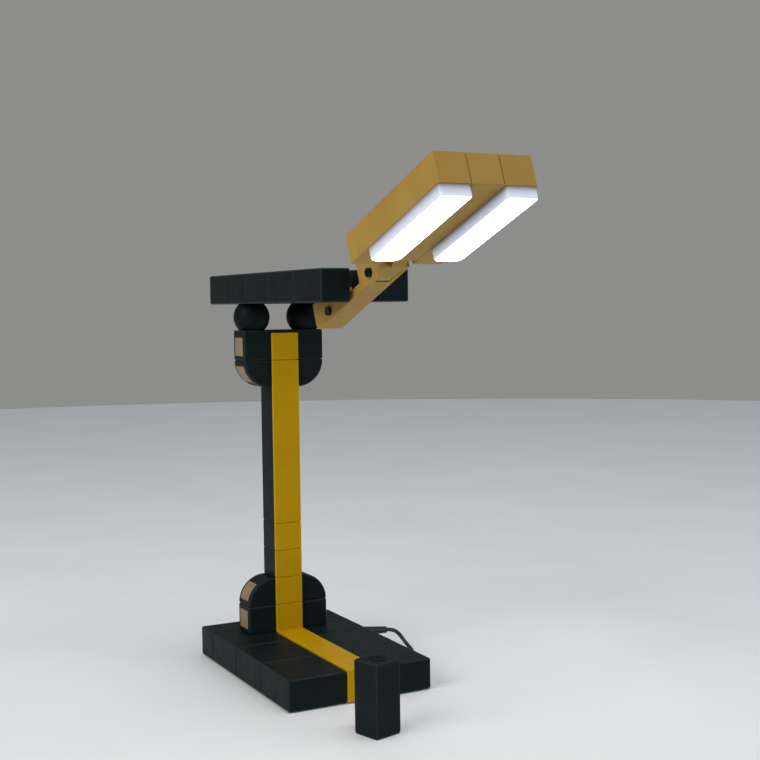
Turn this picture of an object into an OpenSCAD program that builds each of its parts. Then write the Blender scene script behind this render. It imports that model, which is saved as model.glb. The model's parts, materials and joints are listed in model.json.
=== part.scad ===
// Desk lamp made of building blocks: a weighted base, a column with rounded shoulders,
// a level top plate on two balls, a swing arm in the plate's slot and a three-bar light head.
// Millimetres, +Z up, front towards -Y. The origin is the centre of the base, on the table.

/* [Blocks] */
// Width of one block row
module_w = 32; // [30:0.5:34]
// Height of one block layer
layer_h = 30.4; // [28:0.1:33]
// Gap between two neighbouring blocks
seam = 0.4; // [0.2:0.1:0.8]
// Chamfer along the edges of a black block
edge_cut = 1.6; // [0.8:0.1:2]
// Chamfer along the edges of the arm and the head
head_cut = 0.8; // [0.4:0.1:1.2]
// Wall of a hollow block
wall = 3; // [2.5:0.25:3.5]
// Clearance round a piece that is let into another
fit = 0.05; // [0.03:0.01:0.1]

/* [Base] */
// Depth of the base, front to back
base_d = 246; // [236:1:264]
// Height of the base over the table
base_h = 33; // [31:0.5:36]
// Width of the row of blocks at each side of the base
bank_w = 64; // [58:1:72]
// Length of the rearmost block in a bank
bank_last = 36; // [30:1:42]
// Thickness of the steel ballast plate
ballast_t = 6; // [4:0.5:8]
// Thickness of the rubber foot pad
pad_t = 1; // [1:0.25:2]
// How far the foot pad stays inside the base's outline
pad_inset = 5; // [4:0.5:8]
// Diameter of the base screws
screw_d = 4; // [3:0.5:5]
// Diameter of the bosses that the base screws go into
boss_d = 10; // [9:0.5:12]
// Thickness of the yellow tiles
tile_t = 3; // [2.5:0.25:4]
// How far the base tiles stand out of the base
tile_proud = 1.2; // [0.8:0.1:1.6]
// Chamfer along the edges of a tile
tile_cut = 0.7; // [0.4:0.1:0.9]

/* [Column] */
// From the base's front edge to the front of the column
column_setback = 177; // [165:1:180]
// Layers in the column
column_layers = 11; // [9:1:13]
// Height of the column above its top tile
cap_h = 3; // [0:0.5:4]
// Wall of the column post
post_wall = 4; // [3.5:0.25:5]
// Height of the spine's stub inside the post
stub_h = 24; // [16:1:30]
// Width of a shoulder block
shoulder_w = 31.2; // [29:0.2:31.6]
// Diameter of the pegs between the shoulder blocks and the post
peg_d = 8; // [6:0.5:10]
// Width of an inlay panel
inlay_w = 22; // [18:1:25]
// Height of an inlay panel on a cube
inlay_h = 20; // [16:1:23]
// Thickness of an inlay panel
inlay_t = 0.8; // [0.6:0.1:1.2]

/* [Top plate] */
// Diameter of the balls
ball_d = 40; // [38:1:44]
// Height of a ball between its two flats
ball_h = 29; // [26:1:34]
// Diameter of the bolts through the balls
bolt_d = 6; // [5:0.5:8]
// Diameter of the bolt heads
bolt_head_d = 10; // [9:0.5:12]
// Length of the top plate
plate_l = 303; // [290:1:316]
// Thickness of the top plate
plate_t = 33; // [30:0.5:36]
// How far the top plate reaches in front of the base
plate_overhang = 19.5; // [10:0.5:26]
// Length of the blocks in the side rows
plate_block = 64; // [62:1:70]
// Length of the slot at the front of the centre row
slot_l = 96; // [94:1:110]
// Diameter of the cross screws in the plate
plate_tie_d = 5; // [4:0.5:6]

/* [Swing arm] */
// From the plate's front edge back to the arm's pivot
arm_pivot_in = 55; // [51:0.5:56]
// From the plate's underside down to the arm's pivot
arm_pivot_drop = 8.5; // [7:0.5:12]
// Resting slope of the arm, in degrees
arm_rise = 22; // [18:0.5:26]
// From the arm's pivot to the head's pivot
arm_reach = 96; // [90:1:104]
// Length of the arm behind its pivot
arm_tail = 36; // [28:0.5:37]
// Length of the arm ahead of the head's pivot
arm_nose = 32; // [26:0.5:32]
// Width of the arm
arm_w = 25; // [23:0.5:30]
// Radius under the end of the arm's tail
heel_r = 11; // [5:0.5:12]
// Length of the lower lug
lug_l = 68; // [60:1:70]
// Height of the lower lug ahead of its step
lug_h = 17.5; // [16:0.5:28]
// From the arm's pivot forward to the step in the lower lug
lug_step = 10; // [8:0.5:20]
// Length of the notch between the two lugs
notch_l = 40; // [32:1:42]
// Thickness of the arm under the notch
bridge_t = 8; // [6:0.5:12]
// Height of the pivots over the arm's underside
pin_rise = 8.5; // [8.5:0.25:11]
// Diameter of the pivot pins
pin_d = 6; // [5:0.5:7]
// Diameter of the pin heads
pin_head_d = 9; // [8:0.5:11]
// How deep the pin heads sit in the arm
pin_head_t = 2; // [1.5:0.25:2.5]
// How far the pin heads stand out of the arm
pin_proud = 3.5; // [2:0.25:4]
// Radius of the eyes that turn on the pins
eye_r = 5.5; // [5:0.25:5.5]
// Thickness of the arm's cheeks
cheek_t = 4.6; // [4:0.2:5]
// Thickness of the arm's floor under the eyes
web_t = 2.5; // [2:0.25:2.5]
// Side gap between moving pieces
side_gap = 0.5; // [0.4:0.1:0.8]
// Diameter of the screws that hold the hanger
hanger_screw_d = 4; // [3:0.5:5]

/* [Light head] */
// Length of the head's middle bar
head_l = 160; // [140:1:180]
// Thickness of the head
head_t = 29; // [27:0.5:33]
// Resting slope of the head, in degrees
head_rise = 20.5; // [16:0.5:24]
// From the head's pivot to the rear face of its middle bar
head_gap = 39; // [39:0.5:46]
// How far the side bars reach back past the middle bar
side_back = 8; // [0:0.5:9]
// From the head's pivot down to the head's underside
head_drop = 4.5; // [3:0.25:6]
// Height of the tongue behind the middle bar
tongue_h = 13; // [11:0.5:15]
// Width of the bar left at each side of a diffuser
diffuser_side = 1.6; // [1.4:0.1:3]
// Length of the bar left in front of a diffuser
diffuser_front = 1.6; // [1.4:0.1:3]
// Length of the bar left behind a diffuser
diffuser_rear = 33; // [24:0.5:40]
// How deep a diffuser sits in its bar
diffuser_t = 3; // [2:0.25:4]
// How far a diffuser stands out under its bar
diffuser_proud = 10.5; // [8:0.25:13]
// How far a diffuser's rim laps over the bar
diffuser_rim = 1.2; // [0.6:0.1:1.4]
// Corner radius of a diffuser
diffuser_r = 8; // [6:0.5:10]
// Depth of the light chamber above the underside
chamber_h = 14; // [11:0.5:15]
// LEDs on each board
led_count = 12; // [8:1:15]
// Diameter of the cross screws in the head
head_tie_d = 4; // [3:0.5:5]

/* [Switch block] */
// Side of the switch block
switch_w = 31; // [28:0.5:34]
// Height of the switch block
switch_h = 70; // [66:1:84]
// Sideways place of the switch block
switch_x = -30; // [-60:1:60]
// From the base's front edge to the middle of the switch block
switch_front = 91; // [70:1:120]
// Turn of the switch block about the vertical, in degrees
switch_turn = 16; // [0:1:45]
// Wall of the switch block
switch_wall = 2.5; // [2:0.25:2.5]
// Diameter of the button
button_d = 14; // [10:0.5:15]
// Travel of the button
button_travel = 1.2; // [0.8:0.1:1.5]
// How far the button stands out of the block
button_proud = 0.6; // [0.4:0.1:2]
// Running gap round the button
button_gap = 0.3; // [0.2:0.05:0.5]

/* [Supply] */
// Diameter of the cord
cord_d = 4.4; // [4:0.1:4.5]
// From the rearmost block of a bank to the cable gland
gland_in = 48; // [36:1:54]
// Height of the cable gland over the table
gland_z = 24.5; // [22:0.5:24.5]
// Diameter of the gland's flange
gland_flange_d = 12; // [11:0.5:12.5]
// Diameter of the gland's neck in the wall
gland_neck_d = 8; // [7:0.5:9]
// Sideways length of the gland's sleeve
sleeve_out = 31.5; // [24:0.5:36]
// Drop of the gland's sleeve over its length
sleeve_drop = 2.5; // [2:0.5:5]
// Turns in each layer of the coil
coil_turns = 4.375; // [3.375:0.5:5.375]
// Distance between turns of the coil, and between its layers
coil_pitch = 4.9; // [4.9:0.05:5.4]
// Radius of the coil's outer turn
coil_r = 37; // [36:0.5:40]

/* [Hidden] */
$fn = 64;

black = "#20282a";
yellow = "#d8a417";
cream = "#d9caa6";
steel = "#a9adb0";
rubber_black = "#17191a";
board_green = "#2c5a3c";
light_white = "#fbf7ea";

// Rows of blocks, measured from the middle
centre_half = module_w / 2 - seam / 2;
row_in = module_w / 2 + seam / 2;
row_out = 1.5 * module_w;
bank_out = module_w / 2 + bank_w;

// Base, front to back and upwards
base_front = -base_d / 2;
base_back = base_d / 2;
bank_blocks = 4;
bank_block = (base_d - bank_last) / (bank_blocks - 1);
ballast_top = pad_t + ballast_t;
tile_in = tile_t - tile_proud;
screw_head_d = 2 * screw_d;
screw_head_h = 0.6 * screw_d;
screw_roof = 2;
screw_tip = base_h - wall - screw_roof;
spine_screw_front = 60;
spine_screw_back = 15;
spine_screws = [base_front + spine_screw_front, base_back - spine_screw_back];
slip = 0.3;
// How far a cut or an overlap runs past a face
past = 1;

// Column
column_front = base_front + column_setback;
post_front = column_front + tile_t;
post_back = post_front + module_w;
post_mid = (post_front + post_back) / 2;
column_top = base_h + column_layers * layer_h + cap_h;
tile_layers = [1, 1, 1, 1, column_layers - 5, 1];
shoulder_out = row_in + shoulder_w;
shoulder_mid = row_in + shoulder_w / 2;
round_r = min(layer_h, shoulder_w);
peg_l = row_in - centre_half + post_wall - slip;
inlay_from = 12;
inlay_to = 52;

// Top plate
plate_z = column_top + ball_h;
plate_top = plate_z + plate_t;
plate_front = base_front - plate_overhang;
plate_back = plate_front + plate_l;
plate_blocks = ceil(plate_l / plate_block);
slot_end = plate_front + slot_l;
bolt_head_h = bolt_d;
bolt_sink = 1;
bolt_seat = plate_top - bolt_sink - bolt_head_h;
bolt_grip = 22;
plate_tie_front = 14;
plate_tie_back = 20;
plate_tie_rows = [slot_end + plate_tie_front, plate_back - plate_tie_back];
plate_tie_head_h = 4;
tie_sink = 1;

// Swing arm, in a frame at its pivot with the arm along -Y
arm_y = plate_front + arm_pivot_in;
arm_z = plate_z - arm_pivot_drop;
arm_half = arm_w / 2;
cavity_half = arm_half - cheek_t;
tongue_half = cavity_half - side_gap;
notch_from = lug_l - arm_tail;
notch_to = notch_from + notch_l;
end_wall = 5;
fork_back = 3;
chin_gap = 0.7;
chin_r = pin_rise - chin_gap;
chin_l = arm_nose + past;
hanger_foot_t = 6;
hanger_inset = 1.5;
hanger_screw_inset = 8;
hanger_screw_l = 20;

// Light head, in a frame at its pivot with the head along -Y
head_y = arm_y - arm_reach * cos(arm_rise);
head_z = arm_z + arm_reach * sin(arm_rise);
head_rear = -head_gap;
side_rear = head_rear + side_back;
head_tip = -head_gap - head_l;
head_under = -head_drop;
head_over = head_t - head_drop;
bar_mid = (row_in + row_out) / 2;
diffuser_w = row_out - row_in - 2 * diffuser_side;
diffuser_l = side_rear - head_tip - diffuser_front - diffuser_rear;
diffuser_mid = head_tip + diffuser_front + diffuser_l / 2;
diffuser_ledge = 2;
diffuser_floor = 2;
board_w = 18;
board_t = 1.6;
board_end = 6;
led_w = 3;
led_h = 1;
head_tie_in = 5;
head_tie_end = 30;
head_tie_rows = [head_rear - head_tie_end, head_tip + head_tie_end];
head_tie_head_h = 3;

// Switch block, in a frame at the middle of its foot
switch_y = base_front - switch_front;
switch_foot_t = 1;
switch_foot_inset = 1;
switch_plug_t = 3;
switch_roof_t = 4;
switch_inner = switch_w - 2 * switch_wall;
switch_ceiling = switch_h - switch_roof_t;
button_play = 0.1;
button_flange_t = 1.5;
button_flange_lip = 1.5;
button_stem_d = 5;
button_stem_l = 4;
tact_w = 6;
tact_h = 3.5;
tact_clear = 0.2;
button_flange_z = switch_ceiling - button_play - button_flange_t;
button_low = button_flange_z - button_stem_l;
switch_board_top = button_low - button_travel - tact_clear - tact_h;
switch_board_z = switch_board_top - board_t;
switch_post_w = 3;
cell_d = 20;
cell_t = 3.2;

// Cable gland and cord. The route's points are sideways and backwards from the cord's exit,
// with their height over the table, and the first point is the exit itself.
gland_y = base_back - bank_last - gland_in;
gland_flange_t = 2.5;
gland_inside = 4;
sleeve_root_d = 10;
sleeve_tip_d = 7.6;
cord_exit = [bank_out + gland_flange_t + sleeve_out, gland_y, gland_z - sleeve_drop];
sleeve_tilt = atan(sleeve_drop / sleeve_out);
sleeve_l = norm([sleeve_out, sleeve_drop]);
cord_low = 2.3;
cord_sides = 10;
lead_points = [
    [5, 0, 21.4], [10, -0.5, 19.9], [14.5, -2, 16.8], [17.5, -5, 12.4], [19.3, -10, 7.7],
    [20, -16, 4.5], [19.5, -23, 2.9], [17, -30, 2.3], [12, -36, 2.3], [5.5, -39.5, 2.3],
    [-2, -40, 2.3], [-9, -37.5, 2.3], [-14.5, -32.5, 2.3], [-18, -25.5, 2.3],
    [-19, -16, 2.3], [-19.5, -6, 2.3], [-20, 4, 2.3], [-20.5, 15, 2.3], [-21, 26, 2.3],
    [-21.5, 37, 2.3], [-22.5, 48, 2.3], [-24.5, 60, 2.3], [-27, 72, 2.3], [-29.5, 84, 2.3],
    [-31.2, 95, 2.3], [-31.9, 105, 2.3]
];
coil_offset = [-69, 126];
coil_centre = [cord_exit.x + coil_offset.x, cord_exit.y + coil_offset.y];
coil_rings = 24;
coil_sides = 6;
tail_points = [[-10, -0.2, 6.8], [-19, -0.8, 5.7], [-28, -1.5, 4.6], [-34, -1.8, 4.1]];
plug_z = 4;
plug_step = 39;
plug_shift = -1.8;
plug_body = [28, 15.5, 8];
plug_shell = [18, 12, 4.5];
plug_shell_wall = 0.4;

// Plain box between two corners
module box(lo, hi) {
    translate(lo) cube(hi - lo);
}

// Rectangle with cut corners
module cut_rectangle(w, h, cut) {
    polygon([
        [cut, 0], [w - cut, 0], [w, cut], [w, h - cut],
        [w - cut, h], [cut, h], [0, h - cut], [0, cut]
    ]);
}

// Box between two corners with every edge chamfered
module block(lo, hi, cut = edge_cut) {
    size = hi - lo;
    translate(lo) intersection() {
        linear_extrude(size.z) cut_rectangle(size.x, size.y, cut);
        translate([0, size.y, 0]) rotate([90, 0, 0]) linear_extrude(size.y)
            cut_rectangle(size.x, size.z, cut);
        rotate([90, 0, 90]) linear_extrude(size.x) cut_rectangle(size.y, size.z, cut);
    }
}

// Cylinder along +X from a point
module rod_x(at, d, l) {
    translate(at) rotate([0, 90, 0]) cylinder(d = d, h = l);
}

// Slab with round corners, standing on z = 0 about the middle
module round_slab(w, l, t, r) {
    translate([-w / 2 + r, -l / 2, 0]) cube([w - 2 * r, l, t]);
    translate([-w / 2, -l / 2 + r, 0]) cube([w, l - 2 * r, t]);
    for (sx = [-1, 1], sy = [-1, 1])
        translate([sx * (w / 2 - r), sy * (l / 2 - r), 0]) cylinder(r = r, h = t);
}

// Pieces drawn for the right side, moved to the left side where side is -1
module on_side(side) {
    mirror([side < 0 ? 1 : 0, 0, 0]) children();
}

module in_arm() {
    translate([0, arm_y, arm_z]) rotate([-arm_rise, 0, 0]) children();
}

module in_head() {
    translate([0, head_y, head_z]) rotate([-head_rise, 0, 0]) children();
}

module in_switch() {
    translate([switch_x, switch_y, 0]) rotate([0, 0, switch_turn]) children();
}

// Base blocks, counted from the front
function bank_from(i) = base_front + (i - 1) * bank_block + (i > 1 ? seam / 2 : 0);
function bank_to(i) = i < bank_blocks ? base_front + i * bank_block - seam / 2 : base_back;
function bank_mid(i) = [(row_in + bank_out) / 2, (bank_from(i) + bank_to(i)) / 2];

// Room for the ballast plate inside the outer skirts of the blocks
module ballast_space(gap) {
    half = [bank_out - wall + gap, base_back - wall + gap];
    box([-half.x, -half.y, pad_t - past], [half.x, half.y, ballast_top]);
}

module base_block(side, i) {
    lo = [row_in, bank_from(i), pad_t];
    hi = [bank_out, bank_to(i), base_h];
    color(black) on_side(side) difference() {
        block(lo, hi);
        ballast_space(0);
        difference() {
            box(lo + [wall, wall, 0], hi - [wall, wall, wall]);
            translate(bank_mid(i)) cylinder(d = boss_d, h = base_h);
        }
        translate(bank_mid(i)) cylinder(d = screw_d + 2 * fit, h = screw_tip + slip);
        if (side > 0)
            rod_x([row_out, gland_y, gland_z], gland_neck_d + 2 * fit, bank_w);
    }
}

module base_spine() {
    stub = [centre_half - post_wall - slip, module_w / 2 - post_wall - slip];
    color(black) difference() {
        union() {
            block([-centre_half, base_front, pad_t], [centre_half, base_back, base_h]);
            translate([-stub.x, post_mid - stub.y, ballast_top])
                cube([2 * stub.x, 2 * stub.y, base_h - ballast_top + stub_h]);
        }
        ballast_space(0);
        box([-module_w, base_front - past, base_h - tile_in], [module_w, column_front, base_h + past]);
        box([-module_w, base_front - past, 0], [module_w, base_front + tile_in, base_h + past]);
        for (y = spine_screws)
            translate([0, y, 0]) cylinder(d = screw_d + 2 * fit, h = screw_tip + slip);
    }
}

// Places of all base screws
function base_screw_spots() = concat(
    [for (side = [-1, 1], i = [1 : bank_blocks]) [side * bank_mid(i).x, bank_mid(i).y]],
    [for (y = spine_screws) [0, y]]
);

module ballast_plate() {
    color(steel) difference() {
        intersection() {
            ballast_space(-slip);
            translate([0, 0, pad_t]) linear_extrude(ballast_t) square(2 * base_d, center = true);
        }
        for (spot = base_screw_spots()) translate(spot) {
            cylinder(d = screw_d + 2 * slip, h = base_h);
            cylinder(d = screw_head_d + 2 * slip, h = pad_t + screw_head_h);
        }
    }
}

module foot_pad() {
    half = [bank_out - pad_inset, base_back - pad_inset];
    color(rubber_black) box([-half.x, -half.y, 0], [half.x, half.y, pad_t]);
}

module base_screws() {
    color(steel) for (spot = base_screw_spots()) translate(spot) {
        translate([0, 0, pad_t]) cylinder(d = screw_head_d, h = screw_head_h);
        translate([0, 0, pad_t]) cylinder(d = screw_d, h = screw_tip - pad_t);
    }
}

// Board on four spacers beside the boss of the third right-hand block
module driver_board() {
    board = [17, 52, board_t];
    spacer_h = 2;
    spacer_w = 4;
    parts = [[2, 6, 12, 14, 7], [3, 24, 9, 9, 5], [2, 37, 12, 8, 4]];
    wall_gap = 1;
    corner = [bank_out - wall - wall_gap - board.x, bank_mid(3).y - board.y / 2, ballast_top];
    color(board_green) translate(corner) {
        for (x = [0, board.x - spacer_w], y = [0, board.y - spacer_w])
            translate([x, y, 0]) cube([spacer_w, spacer_w, spacer_h]);
        translate([0, 0, spacer_h]) cube(board);
        for (p = parts)
            translate([p[0], p[1], spacer_h]) cube([p[2], p[3], p[4] + board_t]);
    }
}

module cable_gland() {
    flange_x = bank_out + gland_flange_t;
    color(rubber_black) {
        rod_x([bank_out - wall - gland_inside, gland_y, gland_z], gland_neck_d,
            gland_inside + wall + past);
        rod_x([bank_out, gland_y, gland_z], gland_flange_d, gland_flange_t);
        translate([flange_x, gland_y, gland_z]) rotate([0, 90 + sleeve_tilt, 0])
            cylinder(d1 = sleeve_root_d, d2 = sleeve_tip_d, h = sleeve_l);
        translate([flange_x, gland_y, gland_z]) sphere(d = sleeve_root_d);
    }
}

module top_tile() {
    color(yellow) block(
        [-centre_half, base_front + tile_in, base_h - tile_in],
        [centre_half, column_front - seam / 2, base_h + tile_proud], tile_cut);
}

module front_tile() {
    color(yellow) block(
        [-centre_half, base_front - tile_proud, pad_t],
        [centre_half, base_front + tile_in, base_h + tile_proud], tile_cut);
}

// Heights of the four shoulder layers, from the foot of each
cube_z = [base_h, column_top - cap_h - layer_h];
round_z = [base_h + layer_h, column_top - cap_h - 2 * layer_h];

module column_post() {
    inner = [centre_half - post_wall, module_w / 2 - post_wall];
    color(black) difference() {
        block([-centre_half, post_front, base_h], [centre_half, post_back, column_top]);
        box([-inner.x, post_mid - inner.y, base_h - past],
            [inner.x, post_mid + inner.y, column_top - wall]);
        for (z = concat(cube_z, round_z))
            rod_x([-module_w, post_mid, z + layer_h / 2], peg_d + 2 * fit, 2 * module_w);
    }
}

// Front tile number i of the column, counted from the foot
module column_tile(i) {
    below = [for (k = 0, sum = 0; k < i; sum = sum + tile_layers[k], k = k + 1) sum];
    from = base_h + below[i - 1] * layer_h;
    to = from + tile_layers[i - 1] * layer_h;
    color(yellow) block([-centre_half, column_front, from], [centre_half, post_front, to], tile_cut);
}

// Peg from a shoulder block into the post's wall
module peg(z) {
    rod_x([row_in - peg_l, post_mid, z + layer_h / 2], peg_d, peg_l + edge_cut);
}

// Flat inlay on a cube; grow makes the recess that it sits in
module cube_inlay(z, grow) {
    half = [inlay_w / 2 + grow, inlay_h / 2 + grow];
    mid = z + layer_h / 2;
    box([shoulder_out - inlay_t, post_mid - half.x, mid - half.y],
        [shoulder_out + (grow > 0 ? past : 0), post_mid + half.x, mid + half.y]);
}

module shoulder_cube(side, z) {
    top = z > base_h ? column_top : z + layer_h;
    color(black) on_side(side) difference() {
        union() {
            block([row_in, post_front, z], [shoulder_out, post_back, top]);
            peg(z);
        }
        cube_inlay(z, fit);
        translate([shoulder_mid, post_mid, column_top - bolt_grip - slip])
            cylinder(d = bolt_d + 2 * fit, h = plate_top);
    }
}

// Turns a lower round block over to make an upper one
module turned(z, over) {
    translate([0, 0, over ? 2 * z + layer_h : 0]) mirror([0, 0, over ? 1 : 0]) children();
}

// Curved inlay on a round block; grow makes the recess that it sits in
module round_inlay(z, grow) {
    turn = grow > 0 ? 0.2 : 0;
    height = inlay_w + 2 * grow;
    translate([shoulder_out - round_r, post_mid, z + layer_h - round_r]) rotate([90, 0, 0])
        rotate([0, 0, inlay_from - turn]) rotate_extrude(angle = inlay_to - inlay_from + 2 * turn)
            translate([round_r - inlay_t, -height / 2])
                square([inlay_t + (grow > 0 ? past : 0), height]);
}

module shoulder_round(side, z, over) {
    axis = [shoulder_out - round_r, post_front, z + layer_h - round_r];
    color(black) on_side(side) turned(z, over) difference() {
        union() {
            intersection() {
                block([row_in, post_front, z], [shoulder_out, post_back, z + layer_h]);
                union() {
                    translate(axis - [0, past, 0]) rotate([-90, 0, 0])
                        cylinder(r = round_r, h = module_w + 2 * past, $fn = 96);
                    box([0, post_front - past, z], [axis.x + slip, post_back + past, z + layer_h]);
                    box([0, post_front - past, z], [shoulder_out, post_back + past, axis.z + slip]);
                }
            }
            peg(z);
        }
        round_inlay(z, fit);
    }
}

module inlay_panels() {
    color(cream) for (side = [-1, 1]) on_side(side) {
        for (z = cube_z) cube_inlay(z, 0);
        turned(round_z[0], false) round_inlay(round_z[0], 0);
        turned(round_z[1], true) round_inlay(round_z[1], 0);
    }
}

module ball(side) {
    color(black) translate([side * shoulder_mid, post_mid, column_top + ball_h / 2]) difference() {
        intersection() {
            sphere(d = ball_d);
            cube([ball_d + past, ball_d + past, ball_h], center = true);
        }
        cylinder(d = bolt_d + 2 * fit, h = ball_d, center = true);
    }
}

module ball_bolts() {
    color(steel) for (side = [-1, 1]) translate([side * shoulder_mid, post_mid, 0]) {
        translate([0, 0, column_top - bolt_grip])
            cylinder(d = bolt_d, h = bolt_seat + past - column_top + bolt_grip);
        translate([0, 0, bolt_seat]) difference() {
            cylinder(d = bolt_head_d, h = bolt_head_h);
            translate([0, 0, bolt_head_h / 2]) cylinder(d = bolt_d, h = bolt_head_h, $fn = 6);
        }
    }
}

function plate_from(i) = plate_front + i * plate_block;
function plate_to(i) = min(plate_from(i + 1), plate_back);

// Holes for the cross screws, with seats for their heads in the right-hand row
module plate_tie_holes() {
    for (y = plate_tie_rows) {
        rod_x([-row_out + wall + plate_tie_d, y, plate_z + plate_t / 2], plate_tie_d + 2 * fit, 2 * row_out);
        rod_x([row_out - plate_tie_head_h - tie_sink, y, plate_z + plate_t / 2],
            2 * plate_tie_d + 2 * slip, module_w);
    }
}

// Side row of the top plate: blocks that are hollow behind the slot, round the bolt's boss
module plate_row(side) {
    color(black) difference() {
        on_side(side) difference() {
            for (i = [0 : plate_blocks - 1])
                block([row_in, plate_from(i) + (i > 0 ? seam / 2 : 0), plate_z],
                    [row_out, plate_to(i) - (i < plate_blocks - 1 ? seam / 2 : 0), plate_top]);
            difference() {
                for (i = [0 : plate_blocks - 2])
                    if (plate_from(i) > slot_end)
                        box([row_in - past, plate_from(i) + wall, plate_z + wall],
                            [row_out - wall, plate_to(i) - wall, plate_top - wall]);
                translate([shoulder_mid, post_mid, plate_z])
                    cylinder(d = bolt_head_d + 2 * wall, h = plate_t);
            }
            translate([shoulder_mid, post_mid, plate_z - past])
                cylinder(d = bolt_d + 2 * fit, h = plate_t + 2 * past);
            translate([shoulder_mid, post_mid, bolt_seat])
                cylinder(d = bolt_head_d + 2 * fit, h = plate_t);
        }
        plate_tie_holes();
    }
}

module plate_centre_row() {
    color(black) difference() {
        for (i = [0 : plate_blocks - 1])
            if (plate_to(i) > slot_end + wall) {
                from = max(plate_from(i) + seam / 2, slot_end);
                to = plate_to(i) - (i < plate_blocks - 1 ? seam / 2 : 0);
                block([-centre_half, from, plate_z], [centre_half, to, plate_top]);
            }
        plate_tie_holes();
        for (z = hanger_screw_heights) translate([0, slot_end - past, z]) rotate([-90, 0, 0])
            cylinder(d = hanger_screw_d + 2 * fit, h = hanger_screw_l + past + slip);
    }
}

module plate_ties() {
    seat = row_out - plate_tie_head_h - tie_sink;
    tip = -row_out + wall + plate_tie_d + slip;
    color(steel) for (y = plate_tie_rows) {
        rod_x([tip, y, plate_z + plate_t / 2], plate_tie_d, seat + past - tip);
        rod_x([seat, y, plate_z + plate_t / 2], 2 * plate_tie_d, plate_tie_head_h);
    }
}

hanger_screw_heights = [plate_z + hanger_screw_inset, plate_top - hanger_screw_inset];

// Bracket on the front of the centre row that reaches down to the arm's pivot
module arm_hanger() {
    low = plate_z + hanger_inset;
    high = plate_top - hanger_inset;
    bar_angle = atan2((low + high) / 2 - arm_z, slot_end - arm_y);
    across = eye_r * [-sin(bar_angle), cos(bar_angle)];
    pivot = [arm_y, arm_z];
    color(black) difference() {
        union() {
            translate([-tongue_half, 0, 0]) rotate([90, 0, 90]) linear_extrude(2 * tongue_half)
                polygon([
                    [slot_end, low], [slot_end, high], [slot_end - hanger_foot_t, high],
                    pivot + across, pivot - across
                ]);
            rod_x([-tongue_half, arm_y, arm_z], 2 * eye_r, 2 * tongue_half);
        }
        rod_x([-module_w, arm_y, arm_z], pin_d + 2 * fit, 2 * module_w);
        for (z = hanger_screw_heights) {
            translate([0, slot_end + past, z]) rotate([90, 0, 0])
                cylinder(d = hanger_screw_d + 2 * fit, h = slot_l);
            translate([0, slot_end - hanger_foot_t, z]) rotate([90, 0, 0])
                cylinder(d = 2 * hanger_screw_d + 2 * slip, h = slot_l);
        }
    }
}

module hanger_screws() {
    color(steel) for (z = hanger_screw_heights) translate([0, slot_end, z]) rotate([90, 0, 0]) {
        translate([0, 0, -hanger_screw_l])
            cylinder(d = hanger_screw_d, h = hanger_screw_l + hanger_foot_t + past);
        translate([0, 0, hanger_foot_t]) cylinder(d = 2 * hanger_screw_d, h = 0.75 * hanger_screw_d);
    }
}

// Bore and head seats for a pivot pin at a place along the arm
module pin_hole(along) {
    rod_x([-module_w, -along, 0], pin_d + 2 * fit, 2 * module_w);
    for (side = [-1, 1]) on_side(side)
        rod_x([arm_half - pin_head_t, -along, 0], pin_head_d + 2 * fit, module_w);
}

module swing_arm() {
    top = layer_h - pin_rise;
    floor_z = web_t - pin_rise;
    tip = arm_reach + arm_nose;
    color(yellow) in_arm() difference() {
        block([-arm_half, -tip, -pin_rise], [arm_half, arm_tail, top], head_cut);
        box([-module_w, -notch_to, bridge_t - pin_rise], [module_w, -notch_from, top + past]);
        box([-module_w, -notch_to, lug_h - pin_rise], [module_w, -lug_step, top + past]);
        box([-cavity_half, -notch_from + end_wall, floor_z], [cavity_half, arm_tail + past, top + past]);
        box([-cavity_half, -tip - past, floor_z], [cavity_half, -notch_to - end_wall, top + past]);
        box([-cavity_half, -tip - past, -pin_rise - past],
            [cavity_half, -arm_reach + fork_back, top + past]);
        rod_x([-cavity_half, -arm_reach, 0], 2 * (chin_r + side_gap), 2 * cavity_half);
        difference() {
            box([-module_w, arm_tail - heel_r, -pin_rise - past],
                [module_w, arm_tail + past, heel_r - pin_rise]);
            rod_x([-2 * module_w, arm_tail - heel_r, heel_r - pin_rise], 2 * heel_r, 4 * module_w);
        }
        pin_hole(0);
        pin_hole(arm_reach);
    }
}

module pivot_pin(along) {
    color(rubber_black) in_arm() {
        rod_x([-arm_half + past, -along, 0], pin_d, 2 * arm_half - 2 * past);
        for (side = [-1, 1]) on_side(side)
            rod_x([arm_half - pin_head_t, -along, 0], pin_head_d, pin_head_t + pin_proud);
    }
}

// Holes for the cross screws of the head, with seats for their heads at the right
module head_tie_holes() {
    for (y = head_tie_rows) {
        rod_x([-row_out + wall + head_tie_d, y, head_over - head_tie_in], head_tie_d + 2 * fit, 2 * row_out);
        rod_x([row_out - head_tie_head_h - tie_sink, y, head_over - head_tie_in],
            1.75 * head_tie_d + 2 * slip, module_w);
    }
}

module head_middle_bar() {
    pocket = 2 * wall;
    color(yellow) in_head() difference() {
        union() {
            block([-centre_half, head_tip, head_under], [centre_half, head_rear, head_over], head_cut);
            translate([-tongue_half, 0, 0]) rotate([90, 0, 90]) linear_extrude(2 * tongue_half)
                polygon([
                    [0, -chin_r], [0, head_under + tongue_h],
                    [head_rear - wall, head_under + tongue_h], [head_rear - wall, head_under],
                    [head_rear, head_under], [-chin_l, -chin_r]
                ]);
            rod_x([-tongue_half, 0, 0], 2 * chin_r, 2 * tongue_half);
        }
        rod_x([-module_w, 0, 0], pin_d + 2 * fit, 2 * module_w);
        box([-centre_half + wall, head_tip + pocket, head_under + wall],
            [module_w, head_rear - pocket, head_under + chamber_h]);
        head_tie_holes();
    }
}

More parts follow.
